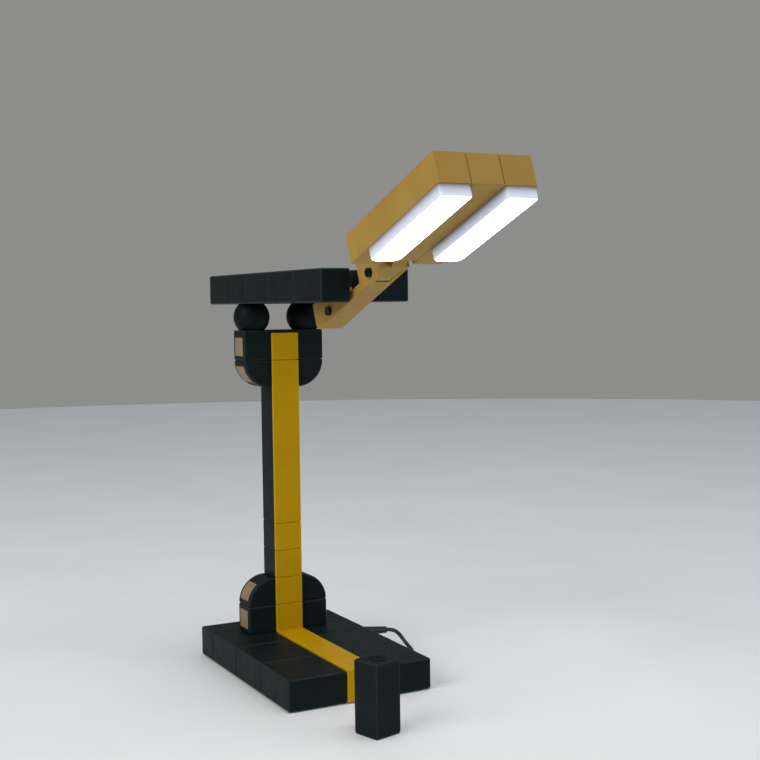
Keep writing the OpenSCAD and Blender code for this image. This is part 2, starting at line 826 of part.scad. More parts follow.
// Where a diffuser lies, under the middle of a side bar
module at_light(side, height) {
    translate([side * bar_mid, diffuser_mid, head_under + height]) children();
}

// Room above a diffuser's floor, from a height under the bar
module light_chamber(side, height, depth) {
    inner = [diffuser_w - 2 * diffuser_ledge, diffuser_l - 2 * diffuser_ledge];
    at_light(side, height) round_slab(inner.x, inner.y, depth, diffuser_r - diffuser_ledge);
}

module head_side_bar(side) {
    color(yellow) in_head() difference() {
        on_side(side) block([row_in, head_tip, head_under], [row_out, side_rear, head_over], head_cut);
        at_light(side, -past)
            round_slab(diffuser_w + 2 * fit, diffuser_l + 2 * fit, diffuser_t + past, diffuser_r);
        light_chamber(side, 0, chamber_h);
        head_tie_holes();
    }
}

module head_ties() {
    seat = row_out - head_tie_head_h - tie_sink;
    tip = -row_out + wall + head_tie_d + slip;
    color(steel) in_head() for (y = head_tie_rows) {
        rod_x([tip, y, head_over - head_tie_in], head_tie_d, seat + past - tip);
        rod_x([seat, y, head_over - head_tie_in], 1.75 * head_tie_d, head_tie_head_h);
    }
}

module led_boards() {
    length = diffuser_l - 2 * diffuser_ledge - 2 * board_end;
    pitch = length / led_count;
    color(light_white) in_head() for (side = [-1, 1]) at_light(side, chamber_h - board_t) {
        translate([-board_w / 2, -length / 2, 0]) cube([board_w, length, board_t]);
        for (i = [0 : led_count - 1])
            translate([-led_w / 2, -length / 2 + (i + 0.5) * pitch - led_w / 2, -led_h])
                cube([led_w, led_w, led_h + board_t / 2]);
    }
}

module diffuser(side) {
    grow = 2 * diffuser_rim;
    color(light_white) in_head() difference() {
        union() {
            at_light(side, -past) round_slab(diffuser_w, diffuser_l, diffuser_t + past, diffuser_r);
            at_light(side, -diffuser_proud)
                round_slab(diffuser_w + grow, diffuser_l + grow, diffuser_proud - fit,
                    diffuser_r + diffuser_rim);
        }
        light_chamber(side, diffuser_floor - diffuser_proud, diffuser_proud + diffuser_t);
    }
}

module switch_shell() {
    half = switch_w / 2;
    inner = switch_inner / 2;
    color(black) in_switch() difference() {
        block([-half, -half, switch_foot_t], [half, half, switch_h]);
        box([-inner, -inner, 0], [inner, inner, switch_ceiling]);
        cylinder(d = button_d + 2 * button_gap, h = switch_h + past);
    }
}

module switch_button() {
    dish_r = 2 * button_d;
    dish = 0.6;
    color(black) in_switch() difference() {
        union() {
            translate([0, 0, button_low]) cylinder(d = button_stem_d, h = button_stem_l + past);
            translate([0, 0, button_flange_z])
                cylinder(d = button_d + 2 * button_flange_lip, h = button_flange_t);
            translate([0, 0, button_flange_z])
                cylinder(d = button_d, h = switch_h + button_proud - button_flange_z);
        }
        translate([0, 0, switch_h + button_proud - dish + dish_r]) sphere(r = dish_r);
    }
}

module switch_board() {
    half = switch_inner / 2 - slip;
    color(board_green) in_switch() {
        box([-half, -half, switch_board_z], [half, half, switch_board_top]);
        box([-tact_w / 2, -tact_w / 2, switch_board_z], [tact_w / 2, tact_w / 2, switch_board_top + tact_h]);
    }
}

module switch_cell() {
    color(steel) in_switch() translate([0, 0, switch_board_z - cell_t]) cylinder(d = cell_d, h = cell_t);
}

// Foot of the switch block, with four posts that carry its board
module switch_base() {
    foot = switch_w / 2 - switch_foot_inset;
    plug = switch_inner / 2 - slip;
    color(black) in_switch() {
        box([-foot, -foot, 0], [foot, foot, switch_foot_t]);
        box([-plug, -plug, 0], [plug, plug, switch_foot_t + switch_plug_t]);
        for (sx = [-1, 1], sy = [-1, 1])
            translate([sx * (plug - switch_post_w / 2), sy * (plug - switch_post_w / 2), switch_board_z / 2])
                cube([switch_post_w, switch_post_w, switch_board_z], center = true);
    }
}

// Tube along a path: rings across the path, kept level, with flat triangles between them
function direction(path, i) =
    let (a = path[max(i - 1, 0)], b = path[min(i + 1, len(path) - 1)]) (b - a) / norm(b - a);
function ring(path, i, d, sides) =
    let (
        along = direction(path, i),
        flat = cross([0, 0, 1], along),
        side = flat / norm(flat),
        up = cross(along, side)
    )
    [for (k = [0 : sides - 1])
        path[i] + d / 2 * (cos(360 * k / sides) * side + sin(360 * k / sides) * up)];

module tube(path, d, sides) {
    last = len(path) - 1;
    points = [for (i = [0 : last]) each ring(path, i, d, sides)];
    walls = [for (i = [0 : last - 1], k = [0 : sides - 1])
        let (a = i * sides + k, b = i * sides + (k + 1) % sides)
        each [[a, a + sides, b], [b, a + sides, b + sides]]];
    ends = [for (k = [1 : sides - 2])
        each [[0, k, k + 1], [last * sides, last * sides + k + 1, last * sides + k]]];
    polyhedron(points, concat(walls, ends));
}

// The coil: in along the lower layer, up through half a turn, and out along the upper layer
coil_inner_r = coil_r - coil_turns * coil_pitch;
function spiral_at(turn) =
    let (
        back = turn - coil_turns,
        climb = min(max(back / 0.5, 0), 1),
        dip = coil_pitch * (pow(climb - 0.5, 2) - 0.25) / 2,
        r = back < 0 ? coil_inner_r - back * coil_pitch
            : back < 0.5 ? coil_inner_r + dip
            : coil_inner_r + (back - 0.5) * coil_pitch
    )
    [coil_centre.x + r * cos(360 * turn), coil_centre.y + r * sin(360 * turn), cord_low + climb * coil_pitch];
coil_steps = round((2 * coil_turns + 0.5) * coil_rings);
coil_path = [for (i = [0 : coil_steps]) spiral_at(i / coil_rings)];
coil_start = coil_path[0] - [0, cord_d, 0];
coil_end = coil_path[coil_steps] - [cord_d, 0, 0];
coil_run = concat([coil_start], coil_path, [coil_end]);

// Least gap between the coil's turns, over rings that are at least a quarter turn apart
coil_gap = min([for (i = [0 : coil_steps], k = [i + coil_rings / 4 : 1 : coil_steps])
    norm(coil_path[i] - coil_path[k])]) - cord_d;
echo(coil_gap = coil_gap);

lead_run = concat(
    [cord_exit],
    [for (p = lead_points) [cord_exit.x + p.x, cord_exit.y + p.y, p.z]],
    [coil_start]
);
tail_run = concat(
    [coil_end],
    [for (p = tail_points) [coil_end.x + p.x, coil_end.y + p.y, p.z]],
    [[coil_end.x - plug_step, coil_end.y + plug_shift, plug_z]]
);

function run_length(path) =
    len(path) < 2 ? 0 : sum_list([for (i = [1 : len(path) - 1]) norm(path[i] - path[i - 1])]);
function sum_list(v) = v * [for (i = v) 1];
echo(cord_length = run_length(lead_run) + run_length(coil_run) + run_length(tail_run));

module supply_cord() {
    color(rubber_black) {
        tube(lead_run, cord_d, cord_sides);
        tube(tail_run, cord_d, cord_sides);
    }
}

module cord_coil() {
    color(rubber_black) tube(coil_run, cord_d, coil_sides);
}

module usb_plug() {
    root = tail_run[len(tail_run) - 1];
    shell_x = root.x - plug_body.x - plug_shell.x;
    color(rubber_black) translate(root) block(
        [-plug_body.x, -plug_body.y / 2, -plug_body.z / 2], [0, plug_body.y / 2, plug_body.z / 2]);
    color(steel) translate([shell_x, root.y, root.z]) difference() {
        box([0, -plug_shell.y / 2, -plug_shell.z / 2],
            [plug_shell.x + past, plug_shell.y / 2, plug_shell.z / 2]);
        box([-past, -plug_shell.y / 2 + plug_shell_wall, -plug_shell_wall],
            [plug_shell.x, plug_shell.y / 2 - plug_shell_wall, plug_shell.z / 2 - plug_shell_wall]);
    }
}

for (i = [1 : bank_blocks]) {
    base_block(-1, i);
    base_block(1, i);
}
base_spine();
ballast_plate();
foot_pad();
base_screws();
driver_board();
cable_gland();
top_tile();
front_tile();
column_post();
for (i = [1 : len(tile_layers)]) {
    column_tile(i);
}
shoulder_cube(-1, cube_z[0]);  // lower_cube_left
shoulder_cube(1, cube_z[0]);  // lower_cube_right
shoulder_cube(-1, cube_z[1]);  // upper_cube_left
shoulder_cube(1, cube_z[1]);  // upper_cube_right
shoulder_round(-1, round_z[0], false);  // lower_round_left
shoulder_round(1, round_z[0], false);  // lower_round_right
shoulder_round(-1, round_z[1], true);  // upper_round_left
shoulder_round(1, round_z[1], true);  // upper_round_right
inlay_panels();
ball(-1);  // ball_left
ball(1);  // ball_right
ball_bolts();
plate_row(-1);  // plate_left_row
plate_row(1);  // plate_right_row
plate_centre_row();
plate_ties();
arm_hanger();
hanger_screws();
swing_arm();
pivot_pin(0);  // arm_pin
pivot_pin(arm_reach);  // head_pin
head_side_bar(-1);  // head_left_bar
head_middle_bar();
head_side_bar(1);  // head_right_bar
head_ties();
led_boards();
diffuser(-1);  // left_diffuser
diffuser(1);  // right_diffuser
switch_shell();
switch_button();
switch_board();
switch_cell();
switch_base();
supply_cord();
cord_coil();
usb_plug();
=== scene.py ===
# %% [markdown]
# # A desk lamp made of building blocks
# The lamp is put together like a toy: satin black blocks make its base, column and top plate, and
# yellow tiles, a yellow arm and a yellow light head sit on them. The measured model is loaded first
# and never moved. Blender adds what the eye notices: rounded edges, finishes, the cord and the light.

# %% Load the measured model
import json
import math

import bmesh
import bpy
from mathutils import Matrix, Vector


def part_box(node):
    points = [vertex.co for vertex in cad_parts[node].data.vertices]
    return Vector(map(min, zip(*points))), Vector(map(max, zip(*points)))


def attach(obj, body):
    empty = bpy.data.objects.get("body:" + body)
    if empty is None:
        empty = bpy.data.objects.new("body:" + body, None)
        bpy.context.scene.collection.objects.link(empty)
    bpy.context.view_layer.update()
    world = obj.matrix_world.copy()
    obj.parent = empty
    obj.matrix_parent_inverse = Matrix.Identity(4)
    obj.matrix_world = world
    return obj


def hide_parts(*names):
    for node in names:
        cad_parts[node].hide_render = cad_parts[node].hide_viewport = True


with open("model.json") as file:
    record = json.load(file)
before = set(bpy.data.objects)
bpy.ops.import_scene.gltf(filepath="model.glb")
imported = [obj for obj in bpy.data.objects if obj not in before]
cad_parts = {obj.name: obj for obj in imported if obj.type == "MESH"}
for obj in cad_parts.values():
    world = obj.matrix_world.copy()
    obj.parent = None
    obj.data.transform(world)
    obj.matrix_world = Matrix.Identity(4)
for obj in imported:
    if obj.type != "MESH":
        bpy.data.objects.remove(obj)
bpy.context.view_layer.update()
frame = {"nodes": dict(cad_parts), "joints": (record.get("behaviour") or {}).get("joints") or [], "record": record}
nodes = frame["nodes"]
joints = {joint["name"]: joint for joint in frame["joints"]}
scene = bpy.context.scene
mm = 0.001

# %% [markdown]
# ## The camera
# The photograph looks at the lamp from the front left, a little under the top plate, through a short
# telephoto lens. A camera could be aimed with a Track To constraint, but a plain rotation built from
# its three directions keeps the small tilt that a hand-held shot has.

# %% Camera
eye = Vector((-562.7, -1237.5, 395.3)) * mm
swing, drop, roll = math.radians(27.80), math.radians(3.34), math.radians(-0.7263)
focal_px, image_px, sensor = 1266.77, 760, 36.0

ahead = Vector((math.sin(swing) * math.cos(drop), math.cos(swing) * math.cos(drop), -math.sin(drop)))
level = Vector((math.cos(swing), -math.sin(swing), 0))
above = level.cross(ahead)
across = level * math.cos(roll) + above * math.sin(roll)
upright = above * math.cos(roll) - level * math.sin(roll)

camera = bpy.data.objects.new("camera", bpy.data.cameras.new("camera"))
camera.data.sensor_width = sensor
camera.data.lens = focal_px / image_px * sensor
camera.matrix_world = Matrix.Translation(eye) @ Matrix((across, upright, -ahead)).transposed().to_4x4()
scene.collection.objects.link(camera)
scene.camera = camera
print("lens", round(camera.data.lens, 1), "mm")

# %% [markdown]
# ## The supply cord
# A round black lead leaves the base through a sleeve, falls to the table in a short curl and runs
# behind the base. What the photograph doesn't show is put away there as a flat coil of two layers. A
# Bezier curve with automatic handles through the measured points gives one smooth, even tube, where a
# mesh would need a ring of faces for every bend.

# %% Route of the cord
cord_d = 4.4
cord_exit = Vector((114, 39, 22))
cord_low = 2.3
falling = [
    (5, 0, 21.4), (10, -0.5, 19.9), (14.5, -2, 16.8), (17.5, -5, 12.4), (19.3, -10, 7.7),
    (20, -16, 4.5), (19.5, -23, 2.9),
]
lying = [
    (17, -30), (12, -36), (5.5, -39.5), (-2, -40), (-9, -37.5), (-14.5, -32.5), (-18, -25.5), (-19, -16),
    (-19.5, -6), (-20, 4), (-20.5, 15), (-21, 26), (-21.5, 37), (-22.5, 48), (-24.5, 60), (-27, 72),
    (-29.5, 84), (-31.2, 95), (-31.9, 105),
]
lead = falling + [(x, y, cord_low) for x, y in lying]
coil_middle, coil_r, coil_pitch = Vector((45, 165, 0)), 37, 4.9
coil_turns, coil_crossing, coil_rings = 4.375, 0.5, 24
tail = [(-10, -0.2, 6.8), (-19, -0.8, 5.7), (-28, -1.5, 4.6), (-34, -1.8, 4.1), (-39, -1.8, 4)]


def coil_point(turn):
    """A point of the coil: in along the lower layer, up through the crossing, out along the upper."""
    inner = coil_r - coil_turns * coil_pitch
    back = turn - coil_turns
    climb = min(max(back / coil_crossing, 0), 1)
    if back < 0:
        r = inner - back * coil_pitch
    elif back < coil_crossing:
        r = inner + coil_pitch * ((climb - 0.5) ** 2 - 0.25) / 2
    else:
        r = inner + (back - coil_crossing) * coil_pitch
    angle = math.tau * turn
    return coil_middle + Vector((r * math.cos(angle), r * math.sin(angle), cord_low + climb * coil_pitch))


coil_steps = round((2 * coil_turns + coil_crossing) * coil_rings)
coil = [coil_point(i / coil_rings) for i in range(coil_steps + 1)]
coil_end = coil[-1] - Vector((cord_d, 0, 0))
route = [cord_exit] + [Vector((cord_exit.x + x, cord_exit.y + y, z)) for x, y, z in lead]
route += [coil[0] - Vector((0, cord_d, 0))] + coil + [coil_end]
route += [Vector((coil_end.x + x, coil_end.y + y, z)) for x, y, z in tail]

# %% Cord as a curve
cord_line = bpy.data.curves.new("supply_lead", "CURVE")
cord_line.dimensions = "3D"
cord_line.bevel_depth = cord_d / 2 * mm
cord_line.bevel_resolution = 4
cord_line.resolution_u = 6
cord_line.use_fill_caps = True
spline = cord_line.splines.new("BEZIER")
spline.bezier_points.add(len(route) - 1)
for knot, place in zip(spline.bezier_points, route):
    knot.co = place * mm
    knot.handle_left_type = knot.handle_right_type = "AUTO"
cord = bpy.data.objects.new("supply_lead", cord_line)
scene.collection.objects.link(cord)
bpy.context.view_layer.update()

# %% [markdown]
# ## Colours and nodes
# Blender shades in linear light, while colours are easier to read as sRGB hex codes, so one function
# turns the one into the other. A second one adds a node, sets its options and fills its sockets, which
# keeps each finish down to a list of what is joined to what.

# %% Helpers for finishes
def linear(code):
    """An sRGB hex colour as linear red, green, blue and alpha."""
    parts = [int(code[i:i + 2], 16) / 255 for i in (1, 3, 5)]
    return [c / 12.92 if c <= 0.04045 else ((c + 0.055) / 1.055) ** 2.4 for c in parts] + [1.0]


def add(tree, kind, sockets, **options):
    """A new node with these options, its sockets filled with values or joined to other nodes' outputs."""
    node = tree.nodes.new(kind)
    for name, value in options.items():
        setattr(node, name, value)
    for name, value in sockets.items():
        if isinstance(value, bpy.types.NodeSocket):
            tree.links.new(value, node.inputs[name])
        else:
            node.inputs[name].default_value = value
    return node


def new_finish(name):
    """An empty material: its tree, its shader and the object's own coordinates."""
    material = bpy.data.materials.new(name)
    material.use_nodes = True
    tree = material.node_tree
    place = tree.nodes.new("ShaderNodeTexCoord").outputs["Object"]
    return material, tree, tree.nodes["Principled BSDF"], place


def per_mm(size):
    """The noise scale whose features are about this many millimetres across."""
    return 1 / (size * mm)


def two_tones(tree, factor, low, dark, high, light):
    """A ramp from one colour to another, between two values of a factor."""
    ramp = add(tree, "ShaderNodeValToRGB", {"Fac": factor})
    for stop, position, code in zip(ramp.color_ramp.elements, (low, high), (dark, light)):
        stop.position, stop.color = position, linear(code)
    return ramp.outputs["Color"]


# %% [markdown]
# ## Moulded ABS
# The blocks and tiles are injection moulded ABS. The mould leaves an even satin skin with a very fine
# grain; handling polishes the edges and leaves faint cloudy marks, so the gloss changes a little over
# each face. One function makes the black, the deep yellow, the ochre and the cream, because they differ
# only in colour and in how matt they are. A piece can carry an attribute named rim, which is 1 along its
# rounded edges, and the finish is smoother and paler there: the paler colour is partly wear and partly a painted
# highlight.

# %% Moulded plastics
def moulded_abs(name, dark, light, edge, matt, grain, glints):
    """A satin plastic: two tones, the tone of its edges (partly wear, partly a painted highlight), roughness,
    depth of grain and strength of shine.
    """
    material, tree, shader, place = new_finish(name)
    clouds = add(tree, "ShaderNodeTexNoise", {"Vector": place, "Scale": per_mm(38), "Detail": 4.0})
    tone = two_tones(tree, clouds.outputs["Fac"], 0.35, dark, 0.65, light)
    rim = add(tree, "ShaderNodeAttribute", {}, attribute_name="rim").outputs["Fac"]
    # Specks of 0.3 mm are too fine for the image, so the grain is drawn at 0.7 mm.
    specks = add(tree, "ShaderNodeTexNoise", {"Vector": place, "Scale": per_mm(0.7), "Detail": 2.0})
    marks = add(tree, "ShaderNodeTexNoise", {"Vector": place, "Scale": per_mm(11), "Detail": 6.0,
                                             "Roughness": 0.65})
    # Along the rounded edges the colour turns paler: partly wear, partly a painted highlight.
    wear_and_highlight = add(tree, "ShaderNodeMix", {"Factor": rim, "A": tone, "B": linear(edge)}, data_type="RGBA")
    gloss = add(tree, "ShaderNodeMapRange", {"Value": marks.outputs["Fac"], "From Min": 0.35, "From Max": 0.7,
                                             "To Min": matt - 0.07, "To Max": matt + 0.07})
    rubbed = add(tree, "ShaderNodeMath", {0: rim, 1: 0.1}, operation="MULTIPLY")
    rough = add(tree, "ShaderNodeMath", {0: gloss.outputs["Result"], 1: rubbed.outputs[0]},
                operation="SUBTRACT")
    relief = add(tree, "ShaderNodeBump", {"Height": specks.outputs["Fac"], "Strength": grain,
                                          "Distance": 0.05 * mm})
    tree.links.new(wear_and_highlight.outputs["Result"], shader.inputs["Base Color"])
    tree.links.new(rough.outputs[0], shader.inputs["Roughness"])
    tree.links.new(relief.outputs["Normal"], shader.inputs["Normal"])
    shader.inputs["IOR"].default_value = 1.53
    shader.inputs["Specular IOR Level"].default_value = glints
    return material


# The third colour of each is its edge tone, partly wear and partly a painted highlight.
black_abs = moulded_abs("satin_black_abs", "#050e0f", "#0a1617", "#1f2b2d", 0.5, 0.35, 0.06)
yellow_abs = moulded_abs("deep_yellow_abs", "#a57f00", "#ac8500", "#c39a10", 0.44, 0.25, 0.05)
ochre_abs = moulded_abs("ochre_yellow_abs", "#9a7b3a", "#a08140", "#b0924e", 0.5, 0.25, 0.1)
cream_abs = moulded_abs("cream_abs", "#806c51", "#8e795c", "#9a866a", 0.52, 0.25, 0.1)
print("4 colours of moulded ABS")

# %% [markdown]
# ## Metals
# The hidden plates, screws and ties are zinc plated steel: a grey metal whose plating is slightly
# cloudy. The hanger and the two pins are steel with a black oxide coat, which is dark and soft in its
# shine. Metals get their colour from what they reflect, so Metallic is 1 and only the roughness varies.

# %% Steel, plated and blackened
def coated_steel(name, dark, light, rough_low, rough_high):
    """A metal whose tone and roughness both follow the bloom of its coat."""
    material, tree, shader, place = new_finish(name)
    bloom = add(tree, "ShaderNodeTexNoise", {"Vector": place, "Scale": per_mm(4), "Detail": 5.0})
    gloss = add(tree, "ShaderNodeMapRange", {"Value": bloom.outputs["Fac"], "To Min": rough_low,
                                             "To Max": rough_high})
    tree.links.new(two_tones(tree, bloom.outputs["Fac"], 0.3, dark, 0.7, light), shader.inputs["Base Color"])
    tree.links.new(gloss.outputs["Result"], shader.inputs["Roughness"])
    shader.inputs["Metallic"].default_value = 1.0
    return material


zinc_steel = coated_steel("zinc_plated_steel", "#8d9092", "#a6a8a8", 0.28, 0.42)
black_steel = coated_steel("black_oxide_steel", "#24282a", "#33383a", 0.34, 0.5)
nickel_steel = coated_steel("nickel_plated_steel", "#b3b0a8", "#c9c6bd", 0.16, 0.28)
print("3 metals")

# %% [markdown]
# ## Rubber, lead and boards
# The foot pad is nitrile rubber with a pressed pimple grain so that it grips. The lead, its sleeve and
# the plug are soft PVC, smooth and a little shiny. The circuit boards are glass fibre under green
# solder mask, and the boards under the light are aluminium with white lacquer.

# %% Soft plastics and boards
def soft_skin(name, dark, light, grain_mm, rough, depth):
    """A soft or lacquered skin with a dusting of a second tone and a pimpled grain."""
    material, tree, shader, place = new_finish(name)
    dust = add(tree, "ShaderNodeTexNoise", {"Vector": place, "Scale": per_mm(14), "Detail": 5.0})
    pimples = add(tree, "ShaderNodeTexVoronoi", {"Vector": place, "Scale": per_mm(grain_mm)},
                  feature="SMOOTH_F1")
    gloss = add(tree, "ShaderNodeMapRange", {"Value": dust.outputs["Fac"], "To Min": rough - 0.08,
                                             "To Max": rough + 0.1})
    relief = add(tree, "ShaderNodeBump", {"Height": pimples.outputs["Distance"], "Strength": depth,
                                          "Distance": 0.15 * mm})
    tree.links.new(two_tones(tree, dust.outputs["Fac"], 0.35, dark, 0.7, light), shader.inputs["Base Color"])
    tree.links.new(gloss.outputs["Result"], shader.inputs["Roughness"])
    tree.links.new(relief.outputs["Normal"], shader.inputs["Normal"])
    return material


pad_rubber = soft_skin("nitrile_rubber", "#17181a", "#232426", 1.2, 0.75, 0.8)
lead_pvc = soft_skin("soft_black_pvc", "#141516", "#1d1e20", 0.9, 0.42, 0.12)
strap_weave = soft_skin("woven_nylon", "#1a1c1e", "#2a2d30", 0.6, 0.8, 0.9)
solder_mask = soft_skin("green_solder_mask", "#1d4a2c", "#28603a", 0.8, 0.35, 0.2)
white_lacquer = soft_skin("white_lacquered_aluminium", "#dcdcd8", "#ebebe6", 0.8, 0.4, 0.1)
print("5 soft skins and boards")

# %% [markdown]
# ## The opal light panels
# A cap of opal acrylic hides the diodes. Its floor glows evenly, while its walls, which no diode faces,
# stay dim and bluish and brighten towards the floor. An attribute named glow, which is 1 on the floor and
# falls to 0 at the top of the walls, drives the emission, and the top of the walls gets a darker colour:
# painted shade of the gap under the bar. A lamp object could light the scene instead,
# but a glowing panel also looks right when it is seen straight on.

# %% Opal acrylic
opal_acrylic, tree, shader, place = new_finish("opal_acrylic")
glow = add(tree, "ShaderNodeAttribute", {}, attribute_name="glow").outputs["Fac"]
diodes = add(tree, "ShaderNodeTexNoise", {"Vector": place, "Scale": per_mm(16), "Detail": 1.0})
patchy = add(tree, "ShaderNodeMapRange", {"Value": diodes.outputs["Fac"], "To Min": 0.9, "To Max": 1.1})
power = add(tree, "ShaderNodeMapRange", {"Value": glow, "To Min": 0.0, "To Max": 14.0})
beam = add(tree, "ShaderNodeMath", {0: power.outputs["Result"], 1: patchy.outputs["Result"]},
           operation="MULTIPLY")
shader.inputs["Roughness"].default_value = 0.35
shader.inputs["IOR"].default_value = 1.49
# The top of the walls is painted darker: painted shade of the gap under the bar.
tree.links.new(two_tones(tree, glow, 0.0, "#77726e", 0.02, "#a5a3af"), shader.inputs["Base Color"])
tree.links.new(two_tones(tree, glow, 0.0, "#c3d2e0", 0.8, "#fffdf6"), shader.inputs["Emission Color"])
tree.links.new(beam.outputs[0], shader.inputs["Emission Strength"])
print("opal acrylic")

# %% [markdown]
# ## Shapes with rounded edges
# Real moulded blocks never have sharp edges: the mould is relieved so that the part comes out, and the
# rounding catches a thin line of light. A cube is scaled to the measured box and all its edges are
# bevelled with three segments. The vertices inside the rounding get the attribute rim for the finish.

# %% Boxes
crest, flank = 1.0, 0.25


def new_shape(*marks):
    """An empty bmesh with the layer that marks rounded edges, and any other marks."""
    shape = bmesh.new()
    for mark in ("rim",) + marks:
        shape.verts.layers.float.new(mark)
    return shape


def round_edges(shape, edges, radius, segments=3):
    """Bevels edges and marks the vertices in the middle of the rounding."""
    rim = shape.verts.layers.float["rim"]
    made = bmesh.ops.bevel(shape, geom=list(edges), offset=radius, offset_type="OFFSET", segments=segments,
                           profile=0.5, affect="EDGES", material=-1, clamp_overlap=True)
    fresh = set(made["faces"])
    for vert in made["verts"]:
        vert[rim] = crest if all(face in fresh for face in vert.link_faces) else flank


def plain_box(shape, low, high, turn=Matrix.Identity(4)):
    """Adds a box between two corners, turned by a matrix, and returns its vertices."""
    low, high = Vector(low), Vector(high)
    corners = bmesh.ops.create_cube(shape, size=1)["verts"]
    bmesh.ops.scale(shape, vec=high - low, verts=corners)
    bmesh.ops.translate(shape, vec=(low + high) / 2, verts=corners)
    bmesh.ops.transform(shape, matrix=turn, verts=corners)
    return corners


def rounded_block(shape, low, high, radius, turn=Matrix.Identity(4)):
    """Adds a box with rounded edges."""
    corners = plain_box(shape, low, high, turn)
    round_edges(shape, {edge for vert in corners for edge in vert.link_edges}, radius)


# %% Turned shapes
def aimed(start, along):
    """A matrix that moves the origin to a point and turns Z to a direction."""
    return Matrix.Translation(start) @ Vector(along).to_track_quat("Z", "Y").to_matrix().to_4x4()


def drum(shape, start, along, radius, length, sides=48):
    """Adds a closed cylinder from a point in a direction."""
    middle = Vector(start) + Vector(along).normalized() * length / 2
    bmesh.ops.create_cone(shape, cap_ends=True, segments=sides, radius1=radius, radius2=radius, depth=length,
                          matrix=aimed(middle, along))


def take_in(shape, part):
    """Moves what is in one bmesh into another."""
    mesh = bpy.data.meshes.new("part")
    part.to_mesh(mesh)
    part.free()
    shape.from_mesh(mesh)
    bpy.data.meshes.remove(mesh)


def lathe(shape, profile, place, sides=48):
    """Adds a profile of radius and height in millimetres, spun about Z and put in its place."""
    turned = new_shape()
    points = [turned.verts.new((r * mm, 0, z * mm)) for r, z in profile]
    lines = [turned.edges.new(pair) for pair in zip(points, points[1:])]
    bmesh.ops.spin(turned, geom=points + lines, cent=(0, 0, 0), axis=(0, 0, 1), dvec=(0, 0, 0),
                   angle=math.tau, steps=sides, use_merge=True)
    bmesh.ops.remove_doubles(turned, verts=turned.verts, dist=0.001 * mm)
    bmesh.ops.transform(turned, matrix=place, verts=turned.verts)
    take_in(shape, turned)


# %% Cutting and handing in
crease = math.radians(42)


def carve(shape, tool):
    """Cuts one bmesh out of another and returns what is left."""
    pair = []
    for name, part in (("stock", shape), ("tool", tool)):
        bmesh.ops.recalc_face_normals(part, faces=part.faces)
        mesh = bpy.data.meshes.new(name)
        part.to_mesh(mesh)
        part.free()
        pair.append(bpy.data.objects.new(name, mesh))
        scene.collection.objects.link(pair[-1])
    stock, cutter = pair
    cut = stock.modifiers.new("cut", "BOOLEAN")
    cut.operation, cut.solver, cut.object = "DIFFERENCE", "EXACT", cutter
    left = bmesh.new()
    left.from_object(stock, bpy.context.evaluated_depsgraph_get())
    for spare in pair:
        bpy.data.meshes.remove(spare.data)
    return left


def add_piece(name, shape, finish, body, slot, *stands_for):
    """Makes an object of a bmesh, rides it on a body and lets it stand for measured nodes."""
    bmesh.ops.recalc_face_normals(shape, faces=shape.faces)
    for face in shape.faces:
        face.smooth = True
    for edge in shape.edges:
        edge.smooth = edge.calc_face_angle(0) < crease
    mesh = bpy.data.meshes.new(name)
    shape.to_mesh(mesh)
    shape.free()
    mesh.materials.append(finish)
    piece = bpy.data.objects.new(name, mesh)
    scene.collection.objects.link(piece)
    piece.modifiers.new("flat_faces", "WEIGHTED_NORMAL").keep_sharp = True
    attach(piece, body)
    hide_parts(*stands_for)
    return piece


# %% [markdown]
# ## The base
# Two banks of four blocks lie beside a spine, and a steel plate fills the room under them. Each block
# is rounded and then carved with a box for that plate, because a visitor may turn the lamp over. The
# spine also gets a bed for the yellow strip.

# %% Base blocks and spine
block_round, post_round, tile_round = 2.0 * mm, 1.0 * mm, 0.6 * mm
floor_low, floor_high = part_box("ballast_plate")
clear, below = Vector((0.3, 0.3, 0)) * mm, Vector((0, 0, 5)) * mm


def ballast_room():
    """The room that the plate takes up, open below."""
    room = bmesh.new()
    plain_box(room, floor_low - clear - below, floor_high + clear)
    return room


base_blocks = [f"base_{side}_{i}" for side in ("left", "right") for i in range(1, 5)]
for name in base_blocks:
    shape = new_shape()
    rounded_block(shape, *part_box(name), block_round)
    add_piece(name.replace("base", "block"), carve(shape, ballast_room()), black_abs, "lamp", "black_block",
              name)
base_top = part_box("base_left_1")[1].z

spine_low, spine_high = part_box("base_spine")
strip_low, strip_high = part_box("top_tile")
shape = new_shape()
rounded_block(shape, spine_low, (spine_high.x, spine_high.y, base_top), block_round)
hollow = ballast_room()
plain_box(hollow, (spine_low.x - mm, spine_low.y - mm, strip_low.z),
          (spine_high.x + mm, strip_high.y + 0.2 * mm, base_top + mm))
add_piece("spine", carve(shape, hollow), black_abs, "lamp", "black_block", "base_spine")
print("base of", len(base_blocks), "blocks and a spine")

# %% [markdown]
# ## The column
# A square post carries the load, and yellow tiles face it. On the real lamp the post is stacked from
# blocks of the same heights as the tiles, so it is built here block by block, with the fine seams that
# show from behind.

# %% Tiles and post
column_tiles = [f"column_tile_{i}" for i in range(1, 7)]
tile_gap = Vector((0, 0, 0.25)) * mm
for name in ["top_tile", "front_tile"] + column_tiles:
    low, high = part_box(name)
    shape = new_shape()
    rounded_block(shape, low + tile_gap, high - tile_gap * (name in column_tiles), tile_round)
    add_piece(name.replace("tile", "facing"), shape, yellow_abs, "lamp", "yellow_tile", name)

post_low, post_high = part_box("column_post")
steps = [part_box(name)[0].z for name in column_tiles] + [post_high.z]
shape = new_shape()
for low, high in zip(steps, steps[1:]):
    rounded_block(shape, (post_low.x, post_low.y, low), (post_high.x, post_high.y, high), post_round)
add_piece("stacked_post", shape, black_abs, "lamp", "black_block", "column_post")
print(len(column_tiles) + 2, "yellow facings and a stacked post")

